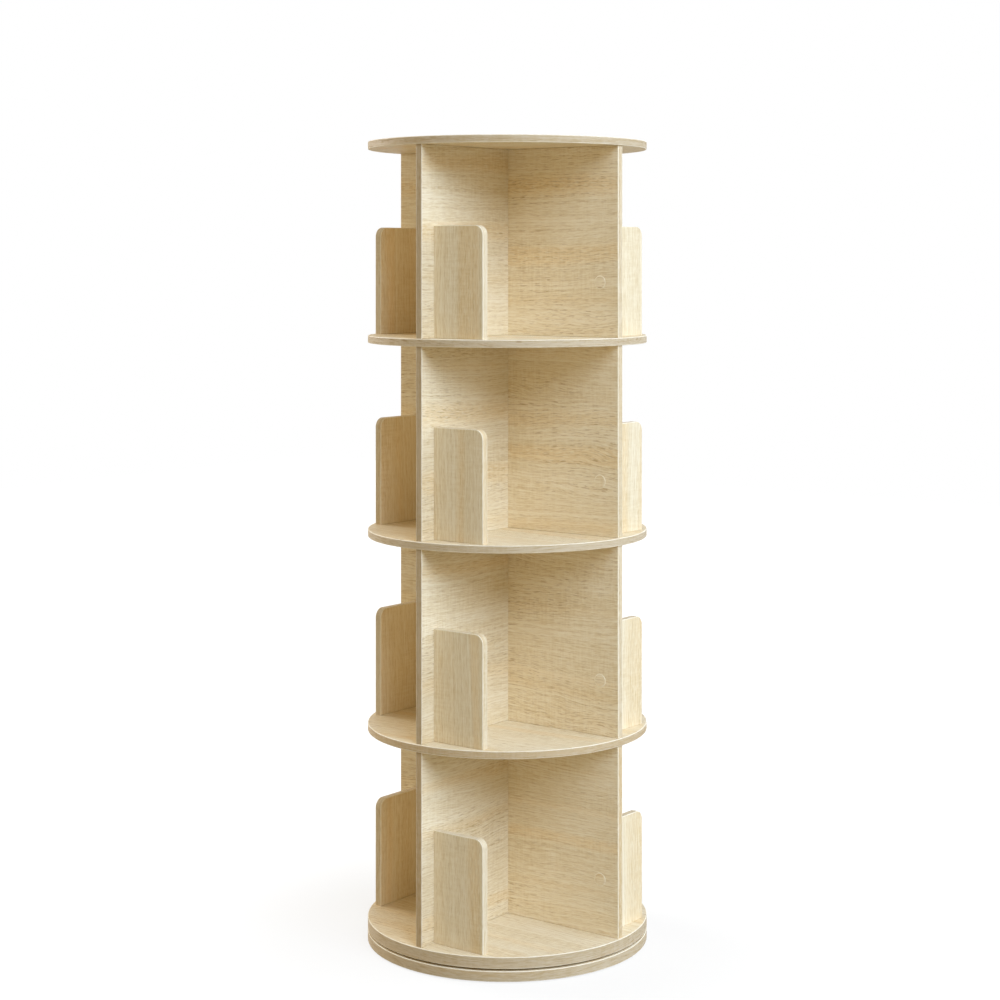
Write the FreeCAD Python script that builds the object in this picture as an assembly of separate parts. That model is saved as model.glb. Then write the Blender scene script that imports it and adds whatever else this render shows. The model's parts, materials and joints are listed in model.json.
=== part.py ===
# Revolving bookcase: four tiers of crossed panels between round shelves, which turn as one tower
# on a ring ball bearing let into the underside of the bottom shelf.
#
# Millimetres. Z is the turning axis and z = 0 the floor. The panels lie along X and Y, so each
# tier has four arms, and what belongs to one arm is drawn on the +X arm and turned to the others.
import FreeCAD, Part
import math
import os

Vector = FreeCAD.Vector

# Driving dimensions
SHELF_DIAMETER = 450.0
BOARD = 12.0                     # shelves, panels and bookends
TIERS = 4
TIER_CLEAR = 299.0               # from the top of one shelf to the underside of the next
BOTTOM_SHELF_THICKNESS = 18.0
BASE_THICKNESS = 16.0
BASE_GAP = 3.5                   # between the base disc and the bottom shelf
PANEL_SETBACK = 3.0              # from the end of a panel to the rim
SLOT_PLAY = 0.2                  # how much wider than a board the halving slot is

# Bookends
BOOKEND_DISTANCE = 193.5         # from the axis to the outer face
BOOKEND_REACH = 96.5             # from the panel's face to the free edge
BOOKEND_HEIGHT = 174.0
BOOKEND_CORNER = 15.0

# Ring bearing: a fixed outer ring and a turning inner ring, each with a V groove
PITCH_RADIUS = 133.0
BALL_DIAMETER = 6.0
BALL_COUNT = 20
BALL_PLAY = 0.04                 # from a ball to the flank of a groove
GROOVE_DEPTH = 3.5
RING_LAND = 1.0                  # plain strip beside the groove, and the rise of the inner ring
RING_WIDTH = 16.0
RECESS_PLAY = 5.0                # from the outer ring to the wall of the recess over it
SPACER_WIDTH = 1.6
SPACER_HEIGHT = 2.4
SPACER_SHIFT = 0.5               # a straight spacer stands out from its chord by this much
SPACER_END_PLAY = 0.2

# Fixings
DOWEL_DIAMETER = 8.0
DOWEL_DISTANCE = 140.0           # from the axis
DOWEL_IN_PANEL = 16.0
DOWEL_IN_DISC = 9.0              # in the top disc and the bottom shelf, which it doesn't pass through
SCREW_HEAD = 8.0
SCREW_HEAD_DEPTH = 2.5
SCREW_SHANK = 4.0
BOOKEND_SCREW_LENGTH = 35.0
BOOKEND_SCREW_HEIGHT = 86.0      # above the shelf
COVER_DIAMETER = 21.0
COVER_THICKNESS = 0.5
RING_SCREWS = 4
SHELF_SCREW_IN_WOOD = 10.0
BASE_SCREW_IN_RING = 6.5

# Pads under the base
PAD_COUNT = 6
PAD_DIAMETER = 30.0
PAD_THICKNESS = 2.0
PAD_DISTANCE = 190.0

# Flats around hidden fixings, and around pads and covers
FIXING_FLATS = 6
ROUND_FLATS = 24
BALL_FLATS = 8

# Worked out from the above
RIM_RADIUS = SHELF_DIAMETER / 2
HALF_BOARD = BOARD / 2
PANEL_REACH = RIM_RADIUS - PANEL_SETBACK
BASE_TOP = PAD_THICKNESS + BASE_THICKNESS
BOTTOM_SHELF_UNDERSIDE = BASE_TOP + BASE_GAP
TIER_PITCH = TIER_CLEAR + BOARD

GROOVE_MIDDLE = BASE_TOP + RING_LAND + GROOVE_DEPTH
RING_GAP = (BALL_DIAMETER + 2 * BALL_PLAY) * math.sqrt(2) - 2 * GROOVE_DEPTH
OUTER_LIP_RADIUS = PITCH_RADIUS + RING_GAP / 2
INNER_LIP_RADIUS = PITCH_RADIUS - RING_GAP / 2
OUTER_RING_TOP = GROOVE_MIDDLE + GROOVE_DEPTH
INNER_RING_TOP = OUTER_RING_TOP + RING_LAND
OUTER_RING_RADIUS = OUTER_LIP_RADIUS + RING_WIDTH
INNER_RING_RADIUS = INNER_LIP_RADIUS - RING_WIDTH
OUTER_SCREW_RADIUS = (OUTER_LIP_RADIUS + GROOVE_DEPTH + OUTER_RING_RADIUS) / 2
INNER_SCREW_RADIUS = (INNER_LIP_RADIUS - GROOVE_DEPTH + INNER_RING_RADIUS) / 2

ORIGIN = Vector(0, 0, 0)
UP = Vector(0, 0, 1)
ALONG_X = Vector(1, 0, 0)
ALONG_Y = Vector(0, 1, 0)


def tier_floor(tier):
    """Height of the shelf that tier 1, 2, 3 ... stands on."""
    return BOTTOM_SHELF_UNDERSIDE + BOTTOM_SHELF_THICKNESS + (tier - 1) * TIER_PITCH


def tier_ceiling(tier):
    return tier_floor(tier) + TIER_CLEAR


def turned(shape, degrees):
    """A copy of the shape, turned about the axis of the tower."""
    copy = shape.copy()
    copy.rotate(ORIGIN, UP, degrees)
    return copy


def around(shape, count, first=0.0):
    """Copies of the shape spread evenly about the axis of the tower."""
    return [turned(shape, first + index * 360.0 / count) for index in range(count)]


def block(x_range, y_range, z_range):
    """A block that fills the three ranges."""
    lows = [span[0] for span in (x_range, y_range, z_range)]
    sizes = [span[1] - span[0] for span in (x_range, y_range, z_range)]
    return Part.makeBox(*sizes, Vector(*lows))


def rod(diameter, length, start, direction, flats=FIXING_FLATS):
    """A straight rod with flat sides, measured across its flats.

    Fixings have few flats, so that they stay light and meet their bores face to face.
    """
    corner_radius = diameter / 2 / math.cos(math.pi / flats)
    angles = [math.pi * (2 * index + 1) / flats for index in range(flats)]
    corners = [Vector(corner_radius * math.cos(a), corner_radius * math.sin(a), 0) for a in angles]
    outline = Part.makePolygon(corners + corners[:1])
    solid = Part.Face(outline).extrude(UP * length)
    solid.Placement = FreeCAD.Placement(start, FreeCAD.Rotation(UP, direction))
    return solid


def screw(start, direction, length):
    """A flat-headed screw whose head is flush with the surface at start."""
    head = rod(SCREW_HEAD, SCREW_HEAD_DEPTH, start, direction)
    shank = rod(SCREW_SHANK, length, start, direction)
    return head.fuse(shank).removeSplitter()


def group(solids):
    return Part.makeCompound(solids)


# Fixings: each is drawn where it lies, and cuts its own bore in the boards that it holds

def dowels(level):
    """The four dowels at one level: level 0 is the bottom shelf and level TIERS the top disc."""
    disc_top = tier_floor(level + 1)
    low = disc_top - (DOWEL_IN_DISC if level == 0 else BOARD + DOWEL_IN_PANEL)
    high = disc_top + DOWEL_IN_PANEL
    if level == TIERS:
        high = tier_ceiling(TIERS) + DOWEL_IN_DISC
    dowel = rod(DOWEL_DIAMETER, high - low, Vector(DOWEL_DISTANCE, 0, low), UP)
    return around(dowel, 4)


def bookend_screws(tier):
    """Through each arm of the cross into the end of its bookend."""
    middle = BOOKEND_DISTANCE - HALF_BOARD
    height = tier_floor(tier) + BOOKEND_SCREW_HEIGHT
    return around(screw(Vector(middle, -HALF_BOARD, height), ALONG_Y, BOOKEND_SCREW_LENGTH), 4)


def screw_covers(tier):
    """Round covers stuck over the screw heads."""
    middle = BOOKEND_DISTANCE - HALF_BOARD
    height = tier_floor(tier) + BOOKEND_SCREW_HEIGHT
    start = Vector(middle, -HALF_BOARD - COVER_THICKNESS, height)
    return around(rod(COVER_DIAMETER, COVER_THICKNESS, start, ALONG_Y, ROUND_FLATS), 4)


def shelf_ring_screws():
    """Up through the inner ring into the bottom shelf."""
    start = Vector(INNER_SCREW_RADIUS, 0, BASE_TOP + RING_LAND)
    length = INNER_RING_TOP - start.z + SHELF_SCREW_IN_WOOD
    return around(screw(start, UP, length), RING_SCREWS, 45.0)


def base_ring_screws():
    """Up through the base disc into the outer ring."""
    start = Vector(OUTER_SCREW_RADIUS, 0, PAD_THICKNESS)
    return around(screw(start, UP, BASE_THICKNESS + BASE_SCREW_IN_RING), RING_SCREWS)


# Ring bearing

def ring(profile):
    """A ring turned from a profile of (radius, height) points."""
    points = [Vector(radius, 0, height) for radius, height in profile]
    outline = Part.makePolygon(points + points[:1])
    return Part.Face(outline).revolve(ORIGIN, UP, 360)


def outer_ring():
    """Lies on the base disc. Its groove faces inwards and runs out at its top edge."""
    return ring([
        (OUTER_LIP_RADIUS, BASE_TOP),
        (OUTER_RING_RADIUS, BASE_TOP),
        (OUTER_RING_RADIUS, OUTER_RING_TOP),
        (OUTER_LIP_RADIUS, OUTER_RING_TOP),
        (OUTER_LIP_RADIUS + GROOVE_DEPTH, GROOVE_MIDDLE),
        (OUTER_LIP_RADIUS, BASE_TOP + RING_LAND),
    ])


def inner_ring():
    """Hangs under the bottom shelf, a land clear of the base disc. Its groove faces outwards."""
    return ring([
        (INNER_LIP_RADIUS, BASE_TOP + RING_LAND),
        (INNER_LIP_RADIUS - GROOVE_DEPTH, GROOVE_MIDDLE),
        (INNER_LIP_RADIUS, OUTER_RING_TOP),
        (INNER_LIP_RADIUS, INNER_RING_TOP),
        (INNER_RING_RADIUS, INNER_RING_TOP),
        (INNER_RING_RADIUS, BASE_TOP + RING_LAND),
    ])


def ball():
    """A ball on the +X side, with flats where it meets the flanks of the grooves."""
    half = BALL_DIAMETER / 2
    middle = Vector(PITCH_RADIUS, 0, GROOVE_MIDDLE)
    prisms = [
        rod(BALL_DIAMETER, BALL_DIAMETER, middle - axis * half, axis, BALL_FLATS)
        for axis in (ALONG_X, ALONG_Y, UP)
    ]
    return prisms[0].common(prisms[1]).common(prisms[2]).removeSplitter()


def ball_spacer():
    """A straight bar in the grooves, between the ball on the +X side and the next one."""
    half_step = math.pi / BALL_COUNT
    middle_radius = PITCH_RADIUS * math.cos(half_step) + SPACER_SHIFT
    half_length = PITCH_RADIUS * math.sin(half_step) - BALL_DIAMETER / 2 - SPACER_END_PLAY
    bar = block(
        (middle_radius - SPACER_WIDTH / 2, middle_radius + SPACER_WIDTH / 2),
        (-half_length, half_length),
        (GROOVE_MIDDLE - SPACER_HEIGHT / 2, GROOVE_MIDDLE + SPACER_HEIGHT / 2),
    )
    return turned(bar, math.degrees(half_step))


def pads():
    """Non-slip pads between the base disc and the floor."""
    pad = rod(PAD_DIAMETER, PAD_THICKNESS, Vector(PAD_DISTANCE, 0, 0), UP, ROUND_FLATS)
    return around(pad, PAD_COUNT, 30.0)


# Boards

def disc(underside, thickness, fixings):
    plate = Part.makeCylinder(RIM_RADIUS, thickness, Vector(0, 0, underside))
    return plate.cut(fixings)


def bottom_shelf():
    """The shelf that the tower stands on, recessed below for the bearing."""
    shelf = disc(BOTTOM_SHELF_UNDERSIDE, BOTTOM_SHELF_THICKNESS, dowels(0) + shelf_ring_screws())
    depth = INNER_RING_TOP - BOTTOM_SHELF_UNDERSIDE
    recess = Part.makeCylinder(
        OUTER_RING_RADIUS + RECESS_PLAY, depth, Vector(0, 0, BOTTOM_SHELF_UNDERSIDE))
    return shelf.cut(recess)


def halved_panel(tier, slot_up):
    """One of a tier's two interlocking panels: the one along X is slotted from above."""
    low = tier_floor(tier)
    high = tier_ceiling(tier)
    middle = (low + high) / 2
    board = block((-PANEL_REACH, PANEL_REACH), (-HALF_BOARD, HALF_BOARD), (low, high))
    half_slot = (BOARD + SLOT_PLAY) / 2
    slot = block(
        (-half_slot, half_slot), (-HALF_BOARD, HALF_BOARD), (middle, high) if slot_up else (low, middle))
    board = board.cut(slot)
    if not slot_up:
        board = turned(board, 90.0)
    return board.cut(dowels(tier - 1) + dowels(tier) + bookend_screws(tier))


def bookend(tier):
    """The bookend of the +X arm. Its free upper corner is rounded."""
    low = tier_floor(tier)
    high = low + BOOKEND_HEIGHT
    free_edge = HALF_BOARD + BOOKEND_REACH
    board = block((BOOKEND_DISTANCE - BOARD, BOOKEND_DISTANCE), (HALF_BOARD, free_edge), (low, high))
    corner = [
        edge for edge in board.Edges
        if abs(edge.CenterOfMass.y - free_edge) < 1e-6 and abs(edge.CenterOfMass.z - high) < 1e-6
    ]
    return board.makeFillet(BOOKEND_CORNER, corner).cut(bookend_screws(tier)[:1])


def shelf_name(level):
    """Level 0 is the bottom shelf and level TIERS the top disc."""
    names = {0: "bottom_shelf", TIERS: "top_disc"}
    return names.get(level, f"shelf_{level + 1}")


def build():
    """Every node by its name."""
    nodes = {
        "floor_pads": group(pads()),
        "base_disc": disc(PAD_THICKNESS, BASE_THICKNESS, base_ring_screws()),
        "bearing_outer_ring": outer_ring().cut(base_ring_screws()),
        "bearing_inner_ring": inner_ring().cut(shelf_ring_screws()),
        "bearing_balls": group(around(ball(), BALL_COUNT)),
        "bearing_ball_spacers": group(around(ball_spacer(), BALL_COUNT)),
        "bearing_screws_to_base": group(base_ring_screws()),
        "bearing_screws_to_shelf": group(shelf_ring_screws()),
        "bottom_shelf": bottom_shelf(),
    }
    for level in range(1, TIERS + 1):
        nodes[shelf_name(level)] = disc(tier_ceiling(level), BOARD, dowels(level))
    for level in range(TIERS + 1):
        nodes[f"{shelf_name(level)}_dowels"] = group(dowels(level))
    for tier in range(1, TIERS + 1):
        nodes[f"tier_{tier}_panel_slotted_above"] = halved_panel(tier, slot_up=True)
        nodes[f"tier_{tier}_panel_slotted_below"] = halved_panel(tier, slot_up=False)
        for index, board in enumerate(around(bookend(tier), 4)):
            nodes[f"tier_{tier}_bookend_{index + 1}"] = board
        nodes[f"tier_{tier}_bookend_screws"] = group(bookend_screws(tier))
        nodes[f"tier_{tier}_screw_covers"] = group(screw_covers(tier))
    return nodes


os.makedirs("parts", exist_ok=True)
for name, shape in build().items():
    shape.exportStep(f"parts/{name}.step")
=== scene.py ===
# Revolving bookcase: boards, fixings, bearing and finishes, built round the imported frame.
#
# Metres, in the frame's own axes: Z is the turning axis and the panels lie along X and Y. What
# belongs to one arm of a tier is drawn on the +X arm and turned to the other three.
import json
import math
import random

import bmesh
import bpy
from bpy.props import FloatProperty, FloatVectorProperty, IntProperty, PointerProperty
from mathutils import Matrix, Vector

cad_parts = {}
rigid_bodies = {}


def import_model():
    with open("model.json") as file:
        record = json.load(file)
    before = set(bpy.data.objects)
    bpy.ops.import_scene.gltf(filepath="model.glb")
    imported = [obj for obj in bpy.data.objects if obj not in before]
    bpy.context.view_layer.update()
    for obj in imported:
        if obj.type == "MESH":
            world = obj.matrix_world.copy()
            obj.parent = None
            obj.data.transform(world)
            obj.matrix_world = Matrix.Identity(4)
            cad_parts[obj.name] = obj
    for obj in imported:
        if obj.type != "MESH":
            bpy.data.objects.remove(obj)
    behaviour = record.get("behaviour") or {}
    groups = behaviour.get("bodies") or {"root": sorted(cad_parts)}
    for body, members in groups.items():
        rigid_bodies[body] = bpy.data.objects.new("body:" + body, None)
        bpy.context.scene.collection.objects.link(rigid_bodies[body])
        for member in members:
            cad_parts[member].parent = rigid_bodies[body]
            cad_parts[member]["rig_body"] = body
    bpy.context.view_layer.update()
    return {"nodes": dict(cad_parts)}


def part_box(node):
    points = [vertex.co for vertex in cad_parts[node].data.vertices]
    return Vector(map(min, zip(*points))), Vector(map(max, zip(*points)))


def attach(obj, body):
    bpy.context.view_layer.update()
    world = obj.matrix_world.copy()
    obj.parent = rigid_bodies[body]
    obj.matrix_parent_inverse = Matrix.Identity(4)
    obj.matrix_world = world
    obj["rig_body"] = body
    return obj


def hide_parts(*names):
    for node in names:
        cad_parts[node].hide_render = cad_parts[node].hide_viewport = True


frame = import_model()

bl_info = {
    "name": "Revolving bookcase",
    "version": (1, 0, 0),
    "blender": (4, 5, 0),
    "location": "3D View > Sidebar > Bookcase",
    "description": "Builds the boards, fixings and bearing of a revolving bookcase",
    "category": "Object",
}

NODES = frame["nodes"]

TIERS = 4
ARMS = 4
ROUND_BOARDS = ("base_disc", "bottom_shelf", "shelf_2", "shelf_3", "shelf_4", "top_disc")
UP = Vector((0.0, 0.0, 1.0))
NEARLY_NOTHING = 1e-6
# A corner of a piece lies on a box's face when it is this close to it
BOX_ERROR = 1e-5
# Edges that turn by more than this are sharp
SHARP = math.radians(44.0)
# A face whose normal goes this much along a board's own normal is one of its two sides
ON_SIDE = 0.7

# Face maps that every board carries
GRAIN_MAP = "Grain"
ARRIS_MARK = "arris"
BAND_MARK = "band"


def colour(red, green, blue):
    """Linear colour from the usual 0 to 255 numbers."""
    def linear(level):
        level /= 255.0
        return level / 12.92 if level <= 0.04045 else ((level + 0.055) / 1.055) ** 2.4
    return (linear(red), linear(green), linear(blue), 1.0)


def length_property(name, description, default):
    return FloatProperty(name=name, description=description, default=default, min=0.0, unit="LENGTH")


def level_property(name, description, default):
    return FloatProperty(name=name, description=description, default=default, min=0.0)


def colour_property(name, description, default):
    return FloatVectorProperty(
        name=name, description=description, default=default, size=4, min=0.0, max=2.0, subtype="COLOR")


class BookcaseSizes(bpy.types.PropertyGroup):
    """Sizes that the frame's boxes don't give"""
    rim_arris: length_property("Rim arris", "Rounding along the rims of the round boards", 0.0012)
    banded_arris: length_property("Banded arris", "Rounding along edges with an edge band", 0.0011)
    ring_arris: length_property("Ring arris", "Broken edges of a bearing ring", 0.0003)
    bookend_corner: length_property("Bookend corner", "Radius of a bookend's free corner", 0.015)
    slot_play: length_property("Slot play", "How much wider than a board a halving slot is", 0.0002)
    recess_play: length_property("Recess play", "From the outer ring to the wall of the recess", 0.005)
    ring_width: length_property("Ring width", "Width of a bearing ring", 0.016)
    groove_depth: length_property("Groove depth", "Depth of the groove in a bearing ring", 0.0035)
    ball: length_property("Ball", "Diameter of a bearing ball", 0.006)
    dowel: length_property("Dowel", "Diameter of a dowel", 0.008)
    screw_head: length_property("Screw head", "Diameter of a screw head", 0.008)
    screw_play: length_property("Screw play", "From a screw's head to its hole", 0.0003)
    screw_shank: length_property("Screw shank", "Diameter of a screw over its thread", 0.004)
    screw_pitch: length_property("Screw pitch", "Pitch of a screw thread", 0.0018)
    cover: length_property("Cover", "Diameter of a screw cover", 0.021)
    cover_thickness: length_property("Cover thickness", "Thickness of a screw cover", 0.0005)
    outer_screw_inset: length_property(
        "Outer screw inset", "From the outer ring's rim to its screws", 0.00625)
    inner_screw_inset: length_property(
        "Inner screw inset", "From the inner ring's rim to its screws", 0.00975)
    bookend_screw: length_property("Bookend screw", "Length of a bookend's screw", 0.035)
    spacer_width: length_property("Spacer width", "Width of a spacer between balls", 0.0016)
    spacer_play: length_property("Spacer play", "From a spacer to a ball", 0.0002)
    cover_edge: length_property("Cover edge", "Width of a screw cover's sloping edge", 0.0012)
    pad: length_property("Pad", "Diameter of a floor pad", 0.030)
    pad_distance: length_property("Pad distance", "From the axis to a pad", 0.190)
    dowel_distance: length_property("Dowel distance", "From the axis to a dowel", 0.140)
    balls: IntProperty(name="Balls", description="Number of balls and of spacers", default=20, min=3)
    pads: IntProperty(name="Pads", description="Number of floor pads", default=6, min=3)
    rim_steps: IntProperty(name="Rim steps", description="Sides of a round board", default=256, min=32)


class BookcaseFinishes(bpy.types.PropertyGroup):
    """Colours of the finishes"""
    pale_wood: colour_property("Pale wood", "Oak between its streaks", colour(238, 226, 200))
    mid_wood: colour_property("Middle wood", "Oak on the whole", colour(230, 214, 181))
    dark_wood: colour_property("Dark wood", "Oak in its dark streaks", colour(219, 199, 160))
    warmth: colour_property("Warmth", "What multiplies the oak in its warm bands", colour(253, 243, 225))
    band_shade: colour_property(
        "Band shade", "What multiplies the oak along an edge band", colour(209, 201, 193))
    pore: colour_property("Pore", "Pores of the oak", colour(178, 147, 102))
    # The arris colour is the paler trimmed edge of a band, and also a painted highlight along the rounded
    # edges
    arris: colour_property("Arris", "Trimmed edge of an edge band", colour(244, 235, 214))
    beech: colour_property("Beech", "Dowels", colour(214, 178, 136))
    aluminium: colour_property("Aluminium", "Bearing rings", colour(206, 208, 210))
    steel: colour_property("Steel", "Bearing balls", colour(198, 200, 203))
    zinc: colour_property("Zinc", "Plating of the screws", colour(196, 199, 203))
    plastic: colour_property("Plastic", "Spacers between the balls", colour(232, 230, 220))
    rubber: colour_property("Rubber", "Floor pads", colour(42, 42, 43))


class BookcaseStage(bpy.types.PropertyGroup):
    """Camera, lamps and floor. Bearings go from the camera's side of the tower to its right"""
    view_turn: FloatProperty(
        name="View turn", description="From the -Y arm to the camera's side", subtype="ANGLE",
        default=math.radians(36.87))
    distance: length_property("Distance", "From the axis to the camera's plane", 3.40875)
    sideways: length_property("Sideways", "From the axis to the camera's line of sight", 0.05157)
    eye_height: length_property("Eye height", "Camera above the floor", 1.09195)
    lens: level_property("Lens", "Focal length in millimetres", 75.85)
    shift_x: FloatProperty(name="Shift X", description="Framing shift of the camera", default=-0.0393)
    shift_y: FloatProperty(name="Shift Y", description="Framing shift of the camera", default=-0.2391)
    key_level: level_property("Key level", "Light of the high lamp in front", 0.82)
    right_level: level_property("Right level", "Light of the low lamp on the right", 0.46)
    left_level: level_property("Left level", "Light of the low lamp behind, on the left", 0.66)
    room_level: level_property("Room level", "Light of the surroundings", 0.32)
    key_tint: colour_property("Key tint", "Colour of the high lamp", (0.82, 1.0, 1.28, 1.0))
    room_tint: colour_property("Room tint", "Colour of the surroundings", (1.23, 0.99, 0.60, 1.0))
    white_level: level_property("White level", "White of the floor where it is seen", 1.16)
    shadow_level: level_property("Shadow level", "Share of the floor's own shading near the tower", 0.30)
    shadow_start: length_property("Shadow start", "From the axis to where the shadow starts to fade", 0.25)
    shadow_end: length_property("Shadow end", "From the axis to where the shadow has faded", 0.90)
    floor_reach: length_property("Floor reach", "From the axis to the edge of the floor", 6.0)
    floor: colour_property("Floor", "Pale floor where its shadow is seen", colour(200, 198, 194))
    floor_glow: colour_property("Floor glow", "Pale floor that lights the tower", colour(177, 167, 145))


# Shader expressions

class Value:
    """A shader socket that can be reckoned with: each operator adds a Math node."""

    def __init__(self, tree, socket):
        self.tree = tree
        self.socket = socket

    def reckon(self, operation, first, second):
        node = self.tree.nodes.new("ShaderNodeMath")
        node.operation = operation
        plug(self.tree, first, node.inputs[0])
        plug(self.tree, second, node.inputs[1])
        return Value(self.tree, node.outputs[0])

    def __add__(self, other):
        return self.reckon("ADD", self, other)

    def __radd__(self, other):
        return self.reckon("ADD", other, self)

    def __sub__(self, other):
        return self.reckon("SUBTRACT", self, other)

    def __rsub__(self, other):
        return self.reckon("SUBTRACT", other, self)

    def __mul__(self, other):
        return self.reckon("MULTIPLY", self, other)

    def __truediv__(self, other):
        return self.reckon("DIVIDE", self, other)


def plug(tree, item, socket):
    """Links a value to a socket, or sets the socket to a plain number or colour."""
    if isinstance(item, Value):
        tree.links.new(item.socket, socket)
    else:
        socket.default_value = item


class Finish:
    """The nodes of a new material or world. All of them but the Math nodes come from node()."""

    def __init__(self, holder):
        self.holder = holder
        holder.use_nodes = True
        self.tree = holder.node_tree
        self.tree.nodes.clear()

    def node(self, kind, settings=None, inputs=None, output=0):
        """Adds a node. Its settings come first, then the values or links of its sockets."""
        made = self.tree.nodes.new("ShaderNode" + kind)
        for setting, value in (settings or {}).items():
            setattr(made, setting, value)
        for socket, value in (inputs or {}).items():
            plug(self.tree, value, made.inputs[socket])
        return Value(self.tree, made.outputs[output]) if made.outputs else None

    def other_output(self, value, output):
        """Another output of the node that the value comes from."""
        return Value(self.tree, value.socket.node.outputs[output])

    def noise(self, place, scale=1.0, detail=2.0, roughness=0.5, dimensions="3D"):
        """Smooth noise, about 0 to 1. In 1D the place is a number."""
        socket = "W" if dimensions == "1D" else "Vector"
        return self.node(
            "TexNoise", {"noise_dimensions": dimensions},
            {socket: place, "Scale": scale, "Detail": detail, "Roughness": roughness})

    def place(self):
        """The place on the object, in metres."""
        return self.node("TexCoord", output="Object")

    def length(self, vector):
        return self.node("VectorMath", {"operation": "LENGTH"}, {0: vector}, output="Value")

    def point(self, x, y):
        return self.node("CombineXYZ", inputs={"X": x, "Y": y})

    def between(self, value, low, high):
        """0 below low, 1 above high and a smooth step between them."""
        return self.node(
            "MapRange", {"interpolation_type": "SMOOTHSTEP"},
            {"Value": value, "From Min": low, "From Max": high})

    def mix(self, factor, first, second, blend="MIX"):
        """A mix of two colours. The node's colour sockets go by number, as their names repeat."""
        return self.node(
            "Mix", {"data_type": "RGBA", "blend_type": blend}, {0: factor, 6: first, 7: second}, output=2)

    def multiplied(self, first, second):
        return self.mix(1.0, first, second, blend="MULTIPLY")

    def bump(self, height, distance, strength=1.0):
        return self.node("Bump", inputs={"Height": height, "Distance": distance, "Strength": strength})

    def surface(self, **inputs):
        """The finished surface. A socket's name is written with _ for each space."""
        named = {socket.replace("_", " "): value for socket, value in inputs.items()}
        shader = self.node("BsdfPrincipled", inputs=named)
        self.show(shader)
        return self.holder

    def show(self, shader, kind="OutputMaterial"):
        self.node(kind, inputs={"Surface": shader})


# Finishes

def oak_surface(name, context, brightness=1.0, figure=1.0):
    """Oak print of a laminated board: wandering rings that open into crowns, fibres, pores and
    the faint marks that a saw leaves across them.

    The board's own map gives metres along the grain and across it. figure says how strongly the
    crowns and the pores show.
    """
    colours = context.scene.bookcase_finishes
    finish = Finish(bpy.data.materials.new(name))
    grain = finish.node("UVMap", {"uv_map": GRAIN_MAP})
    along = finish.node("SeparateXYZ", inputs={"Vector": grain})
    across = finish.other_output(along, "Y")
    arris = finish.node("Attribute", {"attribute_name": ARRIS_MARK}, output="Fac")
    band = finish.node("Attribute", {"attribute_name": BAND_MARK}, output="Fac")

    def marks(length, width, place=across, shift=0.0, detail=1.0, roughness=0.5):
        """Noise whose marks are about this long and wide, in metres, spread from 0 to 1."""
        at = finish.point(along / length + shift, place / width)
        noise = finish.noise(at, detail=detail, roughness=roughness, dimensions="2D")
        return finish.between(noise, 0.3, 0.7)

    wander = across + (marks(length=0.40, width=0.09) - 0.5) * 0.010
    crown_marks = marks(length=0.42, width=0.11, shift=3.0)
    crown = finish.between(crown_marks, 0.50, 1.0) * figure
    swirl = marks(length=0.10, width=0.040, place=wander, shift=7.0) - 0.5
    ring_place = wander + swirl * (crown * 0.0034 + 0.0010)

    ring_width, band_width, warm_width = 0.0046, 0.034, 0.055
    rings = finish.noise(ring_place / ring_width, detail=3.0, roughness=0.62, dimensions="1D")
    rings = finish.between(rings, 0.32, 0.68)
    bands = finish.between(finish.noise(wander / band_width, dimensions="1D"), 0.3, 0.7)
    warm = finish.noise(wander / warm_width + 5.0, detail=1.0, dimensions="1D")
    fibres = marks(length=0.036, width=0.0016, place=ring_place, shift=11.0, detail=3.0, roughness=0.80)
    pore_marks = marks(length=0.016, width=0.0013, place=ring_place, shift=19.0)
    pores = finish.between(pore_marks, 0.66, 0.95) * (rings * (0.45 + crown * 0.55))
    fleck_marks = marks(length=0.014, width=0.0015, place=ring_place, shift=23.0)
    saw_marks = marks(length=0.0042, width=0.030, place=wander, shift=31.0)
    sawn = saw_marks * marks(length=0.20, width=0.07, shift=37.0)

    tone = rings * 0.26 + bands * 0.18 + fibres * 0.54 + sawn * 0.20
    wood = finish.mix(finish.between(tone, 0.08, 0.58), colours.pale_wood, colours.mid_wood)
    wood = finish.mix(finish.between(tone, 0.46, 0.92), wood, colours.dark_wood)
    warmer = finish.multiplied(wood, colours.warmth)
    wood = finish.mix(finish.between(warm, 0.50, 0.72) * 0.7, wood, warmer)
    wood = finish.mix(pores * (0.22 + 0.48 * figure), wood, colours.pore)
    wood = finish.mix(finish.between(fleck_marks, 0.74, 0.98) * 0.45, wood, colours.pale_wood)
    wood = finish.mix(band, wood, finish.multiplied(wood, colours.band_shade))
    # Rounded edges are paler: partly the trimmed band, partly a painted highlight
    trim_and_painted_highlight = arris * (0.45 + marks(length=0.02, width=0.004, detail=2.0) * 0.5)
    wood = finish.mix(trim_and_painted_highlight, wood, colours.arris)
    # A brightness above 1 makes a brighter copy of the oak, which is painted light
    if brightness != 1.0:
        wood = finish.multiplied(wood, (brightness, brightness, brightness, 1.0))

    height = (fibres * 0.35 + rings * 0.25 - pores) * (1.0 - arris)
    return finish.surface(
        Base_Color=wood,
        Specular_IOR_Level=0.14,
        Roughness=0.50 + pores * 0.20 + (fibres - 0.5) * 0.12 - arris * 0.12,
        Normal=finish.bump(height, 0.00012, strength=0.6),
    )


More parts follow.
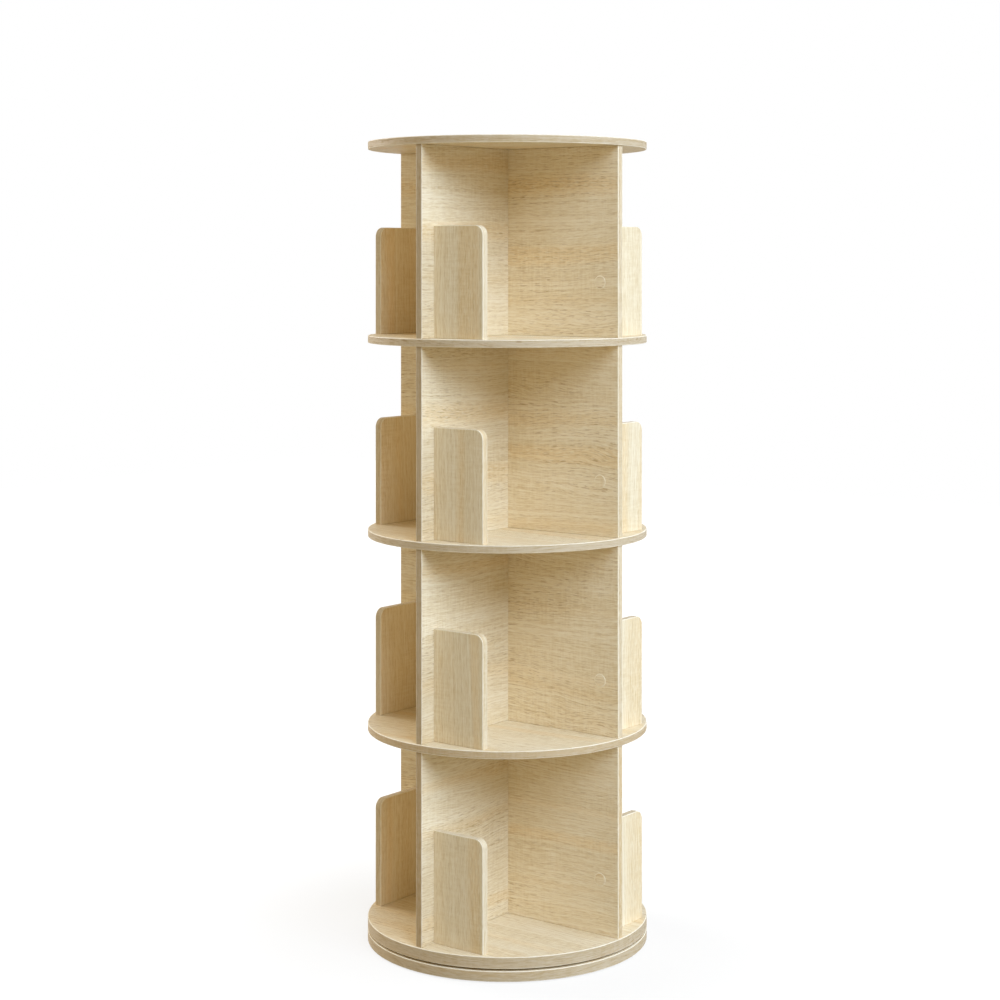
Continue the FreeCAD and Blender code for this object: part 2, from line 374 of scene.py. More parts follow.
def beech_surface(name, context):
    """Plain beech whose fibres run up the dowels."""
    colours = context.scene.bookcase_finishes
    finish = Finish(bpy.data.materials.new(name))
    place = finish.place()
    stretched = finish.node("Mapping", inputs={"Vector": place, "Scale": (900.0, 900.0, 40.0)})
    fibres = finish.noise(stretched, detail=3.0)
    flecks = finish.between(finish.noise(stretched, scale=2.3), 0.60, 0.70)
    dark = finish.multiplied(colours.beech, colour(205, 190, 175))
    wood = finish.mix(finish.between(fibres, 0.3, 0.7), colours.beech, dark)
    wood = finish.mix(flecks * 0.5, wood, dark)
    return finish.surface(
        Base_Color=wood, Roughness=0.6 + fibres * 0.1, Normal=finish.bump(fibres, 0.0001, strength=0.5))


def turned_aluminium(name, context):
    """Satin aluminium with the fine rings that turning leaves."""
    colours = context.scene.bookcase_finishes
    finish = Finish(bpy.data.materials.new(name))
    place = finish.place()
    level = finish.node("VectorMath", {"operation": "MULTIPLY"}, {0: place, 1: (1.0, 1.0, 0.0)})
    cuts = finish.noise(finish.length(level), scale=5200.0, dimensions="1D")
    patches = finish.noise(place, scale=60.0, detail=3.0)
    dull = finish.multiplied(colours.aluminium, colour(214, 214, 216))
    return finish.surface(
        Base_Color=finish.mix(patches, colours.aluminium, dull), Metallic=1.0,
        Roughness=0.28 + cuts * 0.14 + patches * 0.08, Normal=finish.bump(cuts, 0.00003))


def metal_surface(name, base, roughness, grain_scale, depth):
    """Plated or polished metal, with faint patches and fine marks."""
    finish = Finish(bpy.data.materials.new(name))
    place = finish.place()
    patches = finish.noise(place, scale=grain_scale, detail=3.0)
    marks = finish.noise(place, scale=grain_scale * 9.0)
    dull = finish.multiplied(base, colour(208, 206, 200))
    return finish.surface(
        Base_Color=finish.mix(finish.between(patches, 0.35, 0.7), base, dull), Metallic=1.0,
        Roughness=roughness + patches * 0.12, Normal=finish.bump(marks, depth))


def plastic_surface(name, base, roughness, grain_scale, depth):
    """Moulded plastic or rubber, with a fine all-over texture."""
    finish = Finish(bpy.data.materials.new(name))
    place = finish.place()
    cells = finish.node("TexVoronoi", inputs={"Vector": place, "Scale": grain_scale})
    clouds = finish.noise(place, scale=grain_scale * 0.12)
    shade = finish.multiplied(base, colour(222, 222, 222))
    return finish.surface(
        Base_Color=finish.mix(clouds, base, shade),
        Roughness=roughness + clouds * 0.12, Normal=finish.bump(cells, depth))


def finish_named(name, make, *arguments, **settings):
    """The finish of this name, made the first time that it is asked for."""
    full_name = name + "_finish"
    return bpy.data.materials.get(full_name) or make(full_name, *arguments, **settings)


def oak(context):
    return finish_named("oak", oak_surface, context)


def pale_oak(context):
    """A brighter copy of the oak: painted light on the panels that it goes on."""
    return finish_named("pale_oak", oak_surface, context, brightness=1.09)


def plain_oak(context):
    """Oak with a quiet figure."""
    return finish_named("plain_oak", oak_surface, context, figure=0.35)


# Shapes

def verts_in(geometry):
    return [item for item in geometry if isinstance(item, bmesh.types.BMVert)]


def edges_in(geometry):
    return [item for item in geometry if isinstance(item, bmesh.types.BMEdge)]


def edges_of(verts):
    return list({edge for vert in verts for edge in vert.link_edges})


def new_object(name, data):
    made = bpy.data.objects.new(name, data)
    bpy.context.scene.collection.objects.link(made)
    return made


def make_piece(bm, name, material, nodes):
    """Turns the bmesh into a piece that stands for the nodes and rides where they ride."""
    face_outwards(bm)
    for face in bm.faces:
        face.smooth = True
    for edge in sharp_edges(bm):
        edge.smooth = False
    mesh = bpy.data.meshes.new(name)
    bm.to_mesh(mesh)
    bm.free()
    mesh.materials.append(material)
    piece = new_object(name, mesh)
    piece.modifiers.new("Flat faces", "WEIGHTED_NORMAL").keep_sharp = True
    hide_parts(*nodes)
    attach(piece, NODES[nodes[0]]["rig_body"])


def sharp_edges(bm):
    return [edge for edge in bm.edges if edge.calc_face_angle(0.0) > SHARP]


def face_outwards(bm):
    bmesh.ops.recalc_face_normals(bm, faces=bm.faces)


def quarter_turns(count):
    return Matrix.Rotation(count * math.pi / 2, 3, "Z")


def turned(bm, matrix, verts=None):
    """Turns some of the bmesh, or all of it, about the origin."""
    bmesh.ops.rotate(bm, verts=verts or bm.verts, cent=(0, 0, 0), matrix=matrix)


def round_over(bm, edges, radius, steps=3, banded=None):
    """Rounds the edges and marks the new faces as arris, or those whose middle is banded."""
    mark = bm.faces.layers.float.get(ARRIS_MARK) or bm.faces.layers.float.new(ARRIS_MARK)
    made = bmesh.ops.bevel(
        bm, geom=edges, offset=radius, offset_type="OFFSET", affect="EDGES", segments=steps,
        profile=0.5, material=-1, clamp_overlap=True)
    for face in made["faces"]:
        face[mark] = 1.0 if banded is None or banded(face.calc_center_median()) else 0.0


def repeat_round(bm, count, first=0.0):
    """Turns what is in the bmesh to its first place, and repeats it evenly about the axis."""
    turned(bm, Matrix.Rotation(first, 3, "Z"))
    original = bm.verts[:] + bm.edges[:] + bm.faces[:]
    for index in range(1, count):
        copied = bmesh.ops.duplicate(bm, geom=original)["geom"]
        turned(bm, Matrix.Rotation(2 * math.pi * index / count, 3, "Z"), verts_in(copied))


def spun(bm, profile, steps):
    """A closed solid spun about Z from a profile of (radius, height) points.

    A profile that starts on the axis ends on it too. Any other one is closed to a loop.
    """
    verts = [bm.verts.new((radius, 0.0, height)) for radius, height in profile]
    pairs = list(zip(verts, verts[1:]))
    if profile[0][0] > NEARLY_NOTHING:
        pairs.append((verts[-1], verts[0]))
    edges = [bm.edges.new(pair) for pair in pairs]
    bmesh.ops.spin(
        bm, geom=verts + edges, cent=(0, 0, 0), axis=UP, angle=2 * math.pi, steps=steps, use_merge=True)
    bmesh.ops.remove_doubles(bm, verts=bm.verts, dist=NEARLY_NOTHING)
    face_outwards(bm)


def stacked(bm, sections, sides):
    """A closed solid through level sections, from the first to the last.

    Each section is a height and a radius, or a height and a function from bearing to radius.
    """
    ring = bmesh.ops.create_circle(bm, radius=1.0, segments=sides)["verts"]
    first = edges = edges_of(ring)
    for index, (height, radius) in enumerate(sections):
        if index:
            grown = bmesh.ops.extrude_edge_only(bm, edges=edges)["geom"]
            ring, edges = verts_in(grown), edges_in(grown)
        for vert in ring:
            bearing = math.atan2(vert.co.y, vert.co.x)
            reach = radius(bearing) if callable(radius) else radius
            vert.co = (reach * math.cos(bearing), reach * math.sin(bearing), height)
    for loop in (first, edges):
        bmesh.ops.edgeloop_fill(bm, edges=loop)
    face_outwards(bm)


def counterbored(bm, height, places, radius, depth, sides=32):
    """Sinks round holes into the underside at this height."""
    underside = [
        face for face in bm.faces
        if all(abs(vert.co.z - height) < NEARLY_NOTHING for vert in face.verts)
    ]
    bmesh.ops.delete(bm, geom=underside, context="FACES")
    loops = []
    for spot in places:
        made = bmesh.ops.create_circle(
            bm, radius=radius, segments=sides, matrix=Matrix.Translation((spot.x, spot.y, height)))
        loops.append(edges_of(made["verts"]))
    open_edges = [edge for edge in bm.edges if edge.is_boundary or edge.is_wire]
    bmesh.ops.triangle_fill(bm, edges=open_edges, use_beauty=True, normal=-UP)
    for loop in loops:
        sunk = bmesh.ops.extrude_edge_only(bm, edges=loop)["geom"]
        bmesh.ops.translate(bm, verts=verts_in(sunk), vec=UP * depth)
        bmesh.ops.edgeloop_fill(bm, edges=edges_in(sunk))
    face_outwards(bm)


def bookend_middle(tier):
    """How far out along its arm a bookend's middle is."""
    low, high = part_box(f"tier_{tier}_bookend_1")
    return (low.x + high.x) / 2


def cross(arm, half_width):
    """The outline of a cross recess: from a bearing to the radius there."""
    def radius(bearing):
        off = abs((bearing + math.pi / 4) % (math.pi / 2) - math.pi / 4)
        return min(arm / math.cos(off), half_width / max(math.sin(off), NEARLY_NOTHING))
    return radius


def put(bm, position, direction):
    """Moves what was drawn upwards from the origin to a position, pointing in a direction."""
    turned(bm, direction.to_track_quat("Z", "Y").to_matrix())
    bmesh.ops.translate(bm, verts=bm.verts, vec=position)


def block(bm, low, high):
    """A block between two corners."""
    size = high - low
    bmesh.ops.create_cube(bm, size=1.0)
    bmesh.ops.scale(bm, vec=size, verts=bm.verts)
    bmesh.ops.translate(bm, vec=(low + high) / 2, verts=bm.verts)


# Grain

def print_start(start, reach=6.0):
    """A place in the print, in metres along and across the grain."""
    return start.uniform(0.0, reach), start.uniform(0.0, reach)


def lay_grain(bm, name, along, facing, corner=Vector(), band_depth=1.0, back_shift=0.41):
    """Gives a flat board its grain map: along the grain on its two sides and along its bands.

    facing is the way that one side of the board looks, and corner the middle of its rounded
    corner, where the band's grain starts. band_depth says how much of the band's shade it has.
    Each board starts at a place of its own in the print, and its back back_shift further on.
    """
    start_along, start_across = print_start(random.Random(name))
    across = facing.cross(along)
    grain = bm.loops.layers.uv.new(GRAIN_MAP)
    band = bm.faces.layers.float.new(BAND_MARK)
    bm.normal_update()
    for face in bm.faces:
        side = face.normal.dot(facing)
        on_side = abs(side) > ON_SIDE
        run = along if on_side else facing.cross(face.normal)
        rise = across if on_side else facing
        face[band] = 0.0 if on_side else band_depth
        shift = 0.0 if side > ON_SIDE else back_shift
        for loop in face.loops:
            place = loop.vert.co - corner
            loop[grain].uv = (
                place.dot(run) + start_along,
                place.dot(rise) + start_across + shift)


def lay_round_grain(bm, name, radius, band_depth, askew=0.1, top_shift=0.4):
    """Gives a round board its grain map: straight across its sides and round its rim.

    The grain lies up to askew radians off the board's X axis.
    """
    start = random.Random(name)
    start_along, start_across = print_start(start)
    turn = Matrix.Rotation(start.uniform(-askew, askew), 3, "Z")
    grain = bm.loops.layers.uv.new(GRAIN_MAP)
    band = bm.faces.layers.float.new(BAND_MARK)
    bm.normal_update()
    for face in bm.faces:
        on_side = abs(face.normal.z) > ON_SIDE
        shift = top_shift if face.normal.z > 0 else 0.0
        face[band] = 0.0 if on_side else band_depth
        middle = face.calc_center_median()
        bearing = math.atan2(middle.y, middle.x)
        unturn = Matrix.Rotation(-bearing, 3, "Z")
        for loop in face.loops:
            place = loop.vert.co
            if on_side:
                at = turn @ place
                loop[grain].uv = (at.x + start_along, at.y + start_across + shift)
            else:
                local = unturn @ place
                angle = bearing + math.atan2(local.y, local.x)
                loop[grain].uv = (angle * radius + start_along, place.z + start_across)


# Operators

class BOOKCASE_OT_round_boards(bpy.types.Operator):
    """Builds the base disc, the shelves and the top disc"""
    bl_idname = "bookcase.round_boards"
    bl_label = "Round boards"

    def execute(self, context):
        for node in ROUND_BOARDS:
            self.build(context, node)
        return {"FINISHED"}

    def build(self, context, node):
        sizes = context.scene.bookcase_sizes
        low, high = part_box(node)
        radius = high.x
        profile = [(0.0, low.z), (radius, low.z), (radius, high.z), (0.0, high.z)]
        if node == "bottom_shelf":
            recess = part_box("bearing_outer_ring")[1].x + sizes.recess_play
            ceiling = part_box("bearing_inner_ring")[1].z
            profile[0] = (recess, low.z)
            profile = [(0.0, ceiling), (recess, ceiling)] + profile
        bm = bmesh.new()
        spun(bm, profile, sizes.rim_steps)
        if node == "base_disc":
            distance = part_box("bearing_outer_ring")[1].x - sizes.outer_screw_inset
            spots = [quarter_turns(arm) @ Vector((distance, 0, 0)) for arm in range(ARMS)]
            head = sizes.screw_head
            counterbored(bm, low.z, spots, radius=head / 2 + sizes.screw_play, depth=head / 3)
        rim = [
            edge for edge in sharp_edges(bm)
            if all(Vector(vert.co.xy).length > radius - BOX_ERROR for vert in edge.verts)
        ]
        round_over(bm, rim, sizes.rim_arris)
        lay_round_grain(bm, node, radius, band_depth=0.8)
        make_piece(bm, node + "_board", oak(context), [node])


class BOOKCASE_OT_panels(bpy.types.Operator):
    """Builds the halved panels of every tier"""
    bl_idname = "bookcase.panels"
    bl_label = "Panels"

    def execute(self, context):
        for tier in range(1, TIERS + 1):
            panel = f"tier_{tier}_panel_slotted_"
            # The panels slotted from above get a brighter copy of the oak and less of the band's darker
            # tone than those slotted from below: painted light and shade on two panels that are alike
            self.build(context, panel + "above", pale_oak(context), slot_row=1, band_depth=0.56)
            self.build(context, panel + "below", oak(context), slot_row=0, band_depth=1.0)
        return {"FINISHED"}

    def build(self, context, node, wood, slot_row, band_depth):
        """The slot is in the lower row of faces, 0, or in the upper one, 1."""
        sizes = context.scene.bookcase_sizes
        low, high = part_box(node)
        reach = max(high.x, high.y)
        half_board = min(high.x, high.y)
        half_slot = half_board + sizes.slot_play / 2
        columns = (-reach, -half_slot, half_slot, reach)
        rows = (low.z, (low.z + high.z) / 2, high.z)
        bm = bmesh.new()
        # The grid goes from -1 to 1 in three columns and two rows
        bmesh.ops.create_grid(bm, x_segments=3, y_segments=2, size=1.0)
        middles = {face: face.calc_center_median() for face in bm.faces}
        slot = [
            face for face, middle in middles.items()
            if abs(middle.x) < 1 / 3 and (middle.y > 0) == bool(slot_row)
        ]
        for vert in bm.verts:
            column = columns[round((vert.co.x + 1) * 1.5)]
            row = rows[round(vert.co.y + 1)]
            vert.co = (column, half_board, row)
        bmesh.ops.delete(bm, geom=slot, context="FACES")
        back = bmesh.ops.extrude_face_region(bm, geom=bm.faces[:])["geom"]
        bmesh.ops.translate(bm, verts=verts_in(back), vec=(0, -2 * half_board, 0))
        face_outwards(bm)
        outer = [
            edge for edge in sharp_edges(bm)
            if not all(abs(vert.co.x) < half_slot + NEARLY_NOTHING for vert in edge.verts)
            and abs(edge.verts[0].co.y - edge.verts[1].co.y) < NEARLY_NOTHING
        ]
        round_over(bm, outer, sizes.banded_arris,
                   banded=lambda middle: abs(middle.x) > reach - sizes.banded_arris)
        lay_grain(bm, node, Vector((1, 0, 0)), Vector((0, 1, 0)), band_depth=band_depth)
        if high.y > high.x:
            turned(bm, quarter_turns(1))
        make_piece(bm, node + "_board", wood, [node])


class BOOKCASE_OT_bookends(bpy.types.Operator):
    """Builds the four bookends of every tier"""
    bl_idname = "bookcase.bookends"
    bl_label = "Bookends"

    def execute(self, context):
        for tier in range(1, TIERS + 1):
            low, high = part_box(f"tier_{tier}_bookend_1")
            for arm in range(ARMS):
                self.build(context, f"tier_{tier}_bookend_{arm + 1}", arm, low, high)
        return {"FINISHED"}

    def build(self, context, node, arm, low, high):
        """The bookend of the +X arm, between its corners low and high, turned to its own arm."""
        sizes = context.scene.bookcase_sizes
        bm = bmesh.new()
        block(bm, low, high)
        corner = [
            edge for edge in bm.edges
            if all(min(vert.co.y - high.y, vert.co.z - high.z) > -BOX_ERROR for vert in edge.verts)
        ]
        round_over(bm, corner, sizes.bookend_corner, steps=12, banded=lambda middle: False)
        bm.normal_update()
        arris = sizes.banded_arris
        long_edges = [
            edge for edge in sharp_edges(bm)
            if abs(edge.verts[0].co.x - edge.verts[1].co.x) < BOX_ERROR
        ]
        round_over(bm, long_edges, arris,
                   banded=lambda middle: middle.y > low.y + arris and middle.z > low.z + arris)
        middle = Vector((0.0, high.y - sizes.bookend_corner, high.z - sizes.bookend_corner))
        lay_grain(bm, node, UP, Vector((1, 0, 0)), middle, band_depth=0.35)
        turned(bm, quarter_turns(arm))
        make_piece(bm, node + "_board", plain_oak(context), [node])


class BOOKCASE_OT_screw_covers(bpy.types.Operator):
    """Builds the round covers over the screw heads of every tier"""
    bl_idname = "bookcase.screw_covers"
    bl_label = "Screw covers"

    def execute(self, context):
        sizes = context.scene.bookcase_sizes
        # The covers get the same brighter copy of the oak as the panel that they sit on: painted light
        foil = finish_named("cover_foil", oak_surface, context, brightness=1.09)
        for tier in range(1, TIERS + 1):
            node = f"tier_{tier}_screw_covers"
            low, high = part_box(node)
            panel_face = -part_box(f"tier_{tier}_panel_slotted_above")[1].y
            middle = Vector((bookend_middle(tier), panel_face, (low.z + high.z) / 2))
            radius, thickness, edge = sizes.cover / 2, sizes.cover_thickness, sizes.cover_edge
            bm = bmesh.new()
            stacked(bm, (
                (0.0, radius), (thickness * 0.2, radius), (thickness * 0.75, radius - edge * 0.5),
                (thickness, radius - edge)), sides=64)
            # Only the two flat faces have more than four corners. The others are marked as arris, which
            # paints a pale highlight ring round the cover's edge
            mark = bm.faces.layers.float.new(ARRIS_MARK)
            for face in bm.faces:
                face[mark] = 0.0 if len(face.verts) > 4 else 1.0
            put(bm, middle, Vector((0, -1, 0)))
            lay_grain(bm, node, Vector((1, 0, 0)), Vector((0, -1, 0)))
            repeat_round(bm, ARMS)
            make_piece(bm, f"tier_{tier}_round_covers", foil, [node])
        return {"FINISHED"}


class BOOKCASE_OT_dowels(bpy.types.Operator):
    """Builds the fluted dowels in every round shelf"""
    bl_idname = "bookcase.dowels"
    bl_label = "Dowels"

    def execute(self, context):
        sizes = context.scene.bookcase_sizes
        beech = finish_named("beech", beech_surface, context)
        radius, chamfer = sizes.dowel / 2, sizes.dowel / 8
        flutes, half_flute = 12, radius * 0.05

        def fluted(scale):
            def at(bearing):
                return scale * (radius - half_flute * (1 + math.cos(flutes * bearing)))
            return at

        for shelf in ROUND_BOARDS[1:]:
            node = shelf + "_dowels"
            low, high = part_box(node)
            length = high.z - low.z
            bm = bmesh.new()
            stacked(bm, (
                (0.0, fluted(0.75)), (chamfer, fluted(1.0)),
                (length - chamfer, fluted(1.0)), (length, fluted(0.75))), sides=flutes * 4)
            put(bm, Vector((sizes.dowel_distance, 0.0, low.z)), UP)
            repeat_round(bm, ARMS)
            make_piece(bm, node + "_fluted", beech, [node])
        return {"FINISHED"}


class BOOKCASE_OT_screws(bpy.types.Operator):
    """Builds the countersunk cross-recess screws"""
    bl_idname = "bookcase.screws"
    bl_label = "Screws"

    def execute(self, context):
        for tier in range(1, TIERS + 1):
            self.bookend_screws(context, tier)
        sizes = context.scene.bookcase_sizes
        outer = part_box("bearing_outer_ring")[1].x - sizes.outer_screw_inset
        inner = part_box("bearing_inner_ring")[1].x - sizes.inner_screw_inset
        self.ring_screws(context, "bearing_screws_to_base", outer, first=0.0)
        self.ring_screws(context, "bearing_screws_to_shelf", inner, first=math.pi / 4)
        return {"FINISHED"}

    def bookend_screws(self, context, tier):
        """From the far side of each panel into the end of its bookend."""
        node = f"tier_{tier}_bookend_screws"
        sizes = context.scene.bookcase_sizes
        low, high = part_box(node)
        panel_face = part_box(f"tier_{tier}_panel_slotted_above")[0].y
        bm = bmesh.new()
        self.shape(bm, sizes, sizes.bookend_screw)
        middle = Vector((bookend_middle(tier), panel_face, (low.z + high.z) / 2))
        put(bm, middle, Vector((0, 1, 0)))
        self.finish(bm, context, node, first=0.0)

    def ring_screws(self, context, node, distance, first):
        low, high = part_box(node)
        bm = bmesh.new()
        self.shape(bm, context.scene.bookcase_sizes, high.z - low.z)
        put(bm, Vector((distance, 0.0, low.z)), UP)
        self.finish(bm, context, node, first)

    def finish(self, bm, context, node, first):
        repeat_round(bm, ARMS, first)
        colours = context.scene.bookcase_finishes
        zinc = finish_named(
            "zinc", metal_surface, colours.zinc, roughness=0.26, grain_scale=700.0, depth=0.00002)
        make_piece(bm, node + "_threaded", zinc, [node])

    def shape(self, bm, sizes, length):
        """A screw whose head's face is at the origin and that points up.

        Its sections go from the floor of the recess out to the head's rim, and on to the point.
        """
        head, shank, pitch = sizes.screw_head / 2, sizes.screw_shank / 2, sizes.screw_pitch
        core = shank * 0.7
        recess_floor = (head * 0.42, cross(head * 0.26, head * 0.07))
        recess_mouth = (0.0, cross(head * 0.52, head * 0.12))
        head_face = [(0.0, head * 0.93), (head * 0.06, head), (head * 0.12, head)]
        sections = [recess_floor, recess_mouth, *head_face, (head * 0.60, core)]
        thread_from, thread_to = head * 0.75, length - shank * 1.6
        for turn in range(int((thread_to - thread_from) / pitch)):
            foot = thread_from + turn * pitch
            sections += [(foot, core), (foot + pitch * 0.42, shank), (foot + pitch * 0.55, shank),
                         (foot + pitch * 0.9, core)]
        sections += [(thread_to, core), (length - shank * 0.4, core * 0.5), (length, core * 0.12)]
        stacked(bm, sections, sides=24)


class BOOKCASE_OT_bearing(bpy.types.Operator):
    """Builds the rings, the balls and the spacers of the bearing"""
    bl_idname = "bookcase.bearing"
    bl_label = "Bearing"

    def execute(self, context):
        sizes = context.scene.bookcase_sizes
        outer_low, outer_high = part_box("bearing_outer_ring")
        inner_low, inner_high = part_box("bearing_inner_ring")
        groove = sizes.groove_depth
        lip = outer_high.x - sizes.ring_width
        bore = inner_high.x - sizes.ring_width
        middle = outer_high.z - groove
        self.ring(context, "bearing_outer_ring", (
            (lip, outer_low.z), (outer_high.x, outer_low.z), (outer_high.x, outer_high.z),
            (lip, outer_high.z), (lip + groove, middle), (lip, middle - groove)))
        self.ring(context, "bearing_inner_ring", (
            (inner_high.x, inner_low.z), (inner_high.x - groove, middle),
            (inner_high.x, middle + groove), (inner_high.x, inner_high.z),
            (bore, inner_high.z), (bore, inner_low.z)))
        pitch_radius = (lip + inner_high.x) / 2
        self.balls(context, pitch_radius, middle)
        self.spacers(context, pitch_radius, middle)
        return {"FINISHED"}

    def ring(self, context, node, profile):
        sizes = context.scene.bookcase_sizes
        bm = bmesh.new()
        spun(bm, profile, sizes.rim_steps // 2)
        round_over(bm, sharp_edges(bm), sizes.ring_arris, steps=1)
        aluminium = finish_named("aluminium", turned_aluminium, context)
        make_piece(bm, node + "_turned", aluminium, [node])

    def balls(self, context, pitch_radius, middle):
        sizes = context.scene.bookcase_sizes
        colours = context.scene.bookcase_finishes
        bm = bmesh.new()
        bmesh.ops.create_icosphere(bm, subdivisions=4, radius=sizes.ball / 2)
        put(bm, Vector((pitch_radius, 0.0, middle)), UP)
        repeat_round(bm, sizes.balls)
        steel = finish_named(
            "steel", metal_surface, colours.steel, roughness=0.06, grain_scale=500.0, depth=0.000003)
        make_piece(bm, "bearing_balls_round", steel, ["bearing_balls"])

    def spacers(self, context, pitch_radius, middle):
        """Bars that follow the groove between one ball and the next."""
        sizes = context.scene.bookcase_sizes
        colours = context.scene.bookcase_finishes
        low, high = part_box("bearing_ball_spacers")
        half_height, half_width = (high.z - low.z) / 2, sizes.spacer_width / 2
        step = 2 * math.pi / sizes.balls
        clear = (sizes.ball / 2 + sizes.spacer_play) / pitch_radius
        bm = bmesh.new()
        bmesh.ops.create_grid(bm, x_segments=1, y_segments=1, size=1.0)
        for vert in bm.verts:
            vert.co = (pitch_radius + vert.co.x * half_width, 0.0, middle + vert.co.y * half_height)
        turned(bm, Matrix.Rotation(clear, 3, "Z"))
        bmesh.ops.spin(
            bm, geom=bm.faces[:], cent=(0, 0, 0), axis=UP, angle=step - 2 * clear, steps=8)
        face_outwards(bm)
        rounding = sizes.spacer_width * 0.22
        round_over(bm, sharp_edges(bm), rounding, steps=2)
        repeat_round(bm, sizes.balls)
        plastic = finish_named(
            "plastic", plastic_surface, colours.plastic, roughness=0.38, grain_scale=2600.0, depth=0.00001)
        make_piece(bm, "bearing_ball_spacers_curved", plastic, ["bearing_ball_spacers"])


class BOOKCASE_OT_floor_pads(bpy.types.Operator):
    """Builds the non-slip pads under the base disc"""
    bl_idname = "bookcase.floor_pads"
    bl_label = "Floor pads"

    def execute(self, context):
        sizes = context.scene.bookcase_sizes
        colours = context.scene.bookcase_finishes
        low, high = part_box("floor_pads")
        radius, thickness = sizes.pad / 2, high.z - low.z
        edge = thickness * 0.3
        bm = bmesh.new()
        stacked(bm, (
            (0.0, radius - edge), (edge * 0.3, radius - edge * 0.3), (edge, radius),
            (thickness, radius)), sides=64)
        put(bm, Vector((sizes.pad_distance, 0.0, low.z)), UP)
        repeat_round(bm, sizes.pads, math.pi / sizes.pads)
        rubber = finish_named(
            "rubber", plastic_surface, colours.rubber, roughness=0.78, grain_scale=1400.0, depth=0.00008)
        make_piece(bm, "floor_pads_round", rubber, ["floor_pads"])
        return {"FINISHED"}


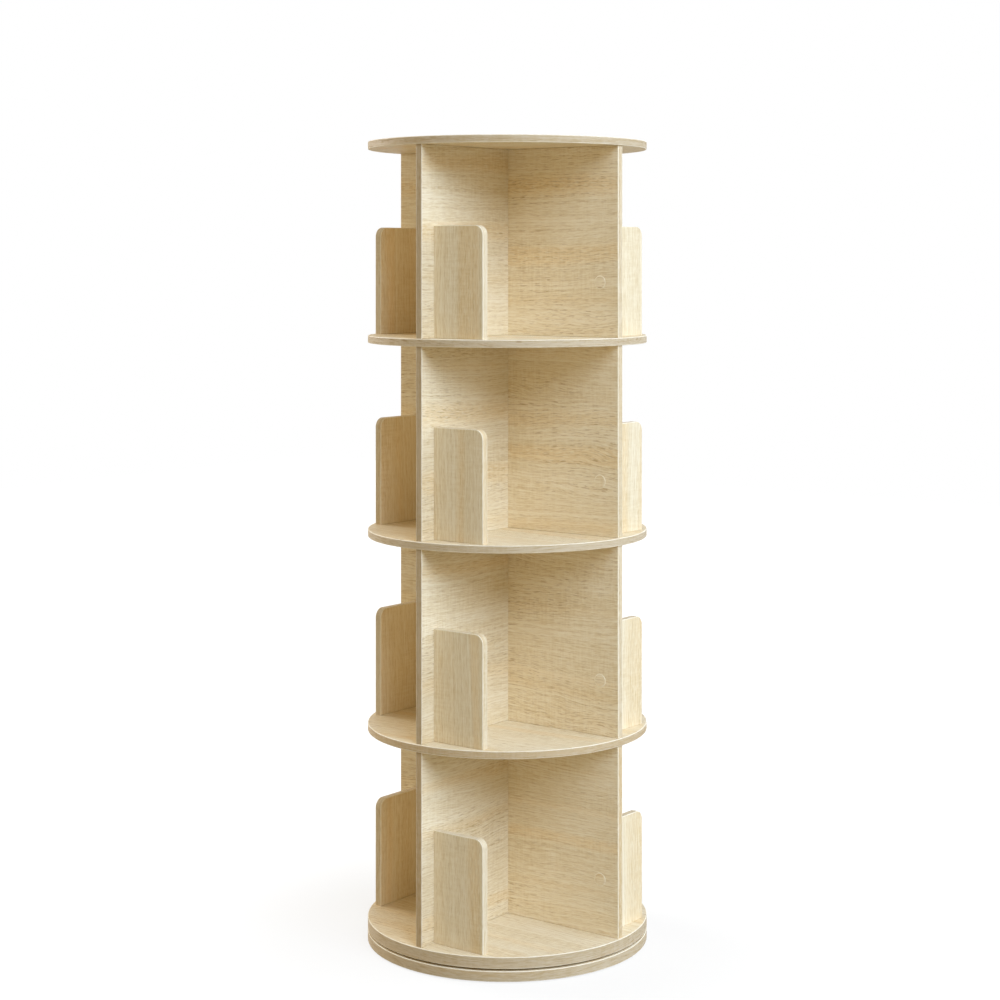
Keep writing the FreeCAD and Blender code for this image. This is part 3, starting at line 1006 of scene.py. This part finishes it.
class BOOKCASE_OT_stage(bpy.types.Operator):
    """Sets the floor, the surroundings, the lamps and the camera"""
    bl_idname = "bookcase.stage"
    bl_label = "Stage"

    def execute(self, context):
        self.floor(context)
        self.surroundings(context)
        self.lamps(context)
        self.camera(context)
        context.scene.view_settings.view_transform = "Standard"
        return {"FINISHED"}

    def direction(self, context, bearing, elevation=0.0):
        """Unit vector from the tower, at a bearing from the camera's side and an elevation."""
        angle = context.scene.bookcase_stage.view_turn - math.pi / 2 + math.radians(bearing)
        level = math.cos(math.radians(elevation))
        return Vector((
            math.cos(angle) * level, math.sin(angle) * level, math.sin(math.radians(elevation))))

    def seen_directly(self, finish):
        """1 for rays from the camera, or by way of a mirror or glass."""
        camera = finish.node("LightPath")
        glossy = finish.other_output(camera, "Is Glossy Ray")
        clear = finish.other_output(camera, "Is Transmission Ray")
        return finish.between(camera + glossy + clear, 0.0, 1.0)

    def floor(self, context):
        """White where it is seen, but for the tower's soft shadow. A plain pale floor to the lamps."""
        settings = context.scene.bookcase_stage
        bm = bmesh.new()
        bmesh.ops.create_grid(bm, x_segments=1, y_segments=1, size=settings.floor_reach)
        mesh = bpy.data.meshes.new("floor")
        bm.to_mesh(mesh)
        bm.free()
        floor = new_object("floor", mesh)
        finish = Finish(bpy.data.materials.new("floor"))
        radius = finish.length(finish.place())
        share = finish.between(radius, settings.shadow_end, settings.shadow_start) * settings.shadow_level
        pale = finish.node("BsdfDiffuse", inputs={"Color": settings.floor})
        glow = finish.node("BsdfDiffuse", inputs={"Color": settings.floor_glow})
        white = finish.node("Emission", inputs={"Strength": settings.white_level})
        seen = finish.node("MixShader", inputs={0: share, 1: white, 2: pale})
        shader = finish.node("MixShader", inputs={0: self.seen_directly(finish), 1: glow, 2: seen})
        finish.show(shader)
        mesh.materials.append(finish.holder)

    def surroundings(self, context):
        """White where it is seen, and an even light on the object."""
        settings = context.scene.bookcase_stage
        finish = Finish(bpy.data.worlds.new("studio"))
        room = finish.node("Background", inputs={
            "Color": settings.room_tint, "Strength": settings.room_level})
        white = finish.node("Background", inputs={"Color": (1.0, 1.0, 1.0, 1.0), "Strength": 1.0})
        shader = finish.node("MixShader", inputs={0: self.seen_directly(finish), 1: room, 2: white})
        finish.show(shader, kind="OutputWorld")
        context.scene.world = finish.holder

    def lamps(self, context):
        settings = context.scene.bookcase_stage
        tint = settings.key_tint[:3]
        self.lamp(
            context, "key", settings.key_level, bearing=32.0, elevation=39.0, distance=14.0, size=9.0,
            tint=tint)
        self.lamp(
            context, "right", settings.right_level, bearing=80.0, elevation=22.0, distance=12.0, size=7.5,
            tint=tint)
        self.lamp(
            context, "left", settings.left_level, bearing=-124.0, elevation=17.0, distance=12.0, size=5.0)

    def lamp(self, context, name, level, bearing, elevation, distance, size, tint=(1.0, 1.0, 1.0)):
        """A square lamp that looks at the middle of the tower. A facing white surface shows level."""
        lamp = bpy.data.lights.new(name, "AREA")
        lamp.shape = "SQUARE"
        lamp.size = size
        lamp.energy = level * math.pi ** 2 * distance ** 2
        lamp.color = tint
        made = new_object(name, lamp)
        way = self.direction(context, bearing, elevation)
        middle = UP * (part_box("top_disc")[1].z / 2)
        made.location = middle + way * distance
        made.rotation_euler = way.to_track_quat("Z", "Y").to_euler()

    def camera(self, context):
        settings = context.scene.bookcase_stage
        camera = bpy.data.cameras.new("camera")
        camera.lens = settings.lens
        camera.shift_x = settings.shift_x
        camera.shift_y = settings.shift_y
        made = new_object("camera", camera)
        back = self.direction(context, 0.0)
        right = self.direction(context, 90.0)
        made.location = back * settings.distance + right * settings.sideways + UP * settings.eye_height
        made.rotation_euler = (math.pi / 2, 0.0, settings.view_turn)
        context.scene.camera = made


class BOOKCASE_PT_parts(bpy.types.Panel):
    """Lists what can be built"""
    bl_label = "Revolving bookcase"
    bl_idname = "BOOKCASE_PT_parts"
    bl_space_type = "VIEW_3D"
    bl_region_type = "UI"
    bl_category = "Bookcase"

    def draw(self, context):
        layout = self.layout
        for group_name in GROUPS:
            group = getattr(context.scene, group_name)
            column = layout.column()
            for name in group.__annotations__:
                column.prop(group, name)
        for operator in OPERATORS:
            layout.operator(operator.bl_idname)


GROUPS = {
    "bookcase_sizes": BookcaseSizes,
    "bookcase_finishes": BookcaseFinishes,
    "bookcase_stage": BookcaseStage,
}
OPERATORS = (
    BOOKCASE_OT_round_boards,
    BOOKCASE_OT_panels,
    BOOKCASE_OT_bookends,
    BOOKCASE_OT_screw_covers,
    BOOKCASE_OT_dowels,
    BOOKCASE_OT_screws,
    BOOKCASE_OT_bearing,
    BOOKCASE_OT_floor_pads,
    BOOKCASE_OT_stage,
)
CLASSES = (*GROUPS.values(), *OPERATORS, BOOKCASE_PT_parts)


def register():
    for item in CLASSES:
        bpy.utils.register_class(item)
    for name, group in GROUPS.items():
        setattr(bpy.types.Scene, name, PointerProperty(type=group))


def unregister():
    for name in GROUPS:
        delattr(bpy.types.Scene, name)
    for item in reversed(CLASSES):
        bpy.utils.unregister_class(item)


def main():
    """Builds everything in order."""
    register()
    bpy.ops.bookcase.round_boards()
    bpy.ops.bookcase.panels()
    bpy.ops.bookcase.bookends()
    bpy.ops.bookcase.screw_covers()
    bpy.ops.bookcase.dowels()
    bpy.ops.bookcase.screws()
    bpy.ops.bookcase.bearing()
    bpy.ops.bookcase.floor_pads()
    bpy.ops.bookcase.stage()
    bpy.context.view_layer.update()


if __name__ == "__main__":
    main()
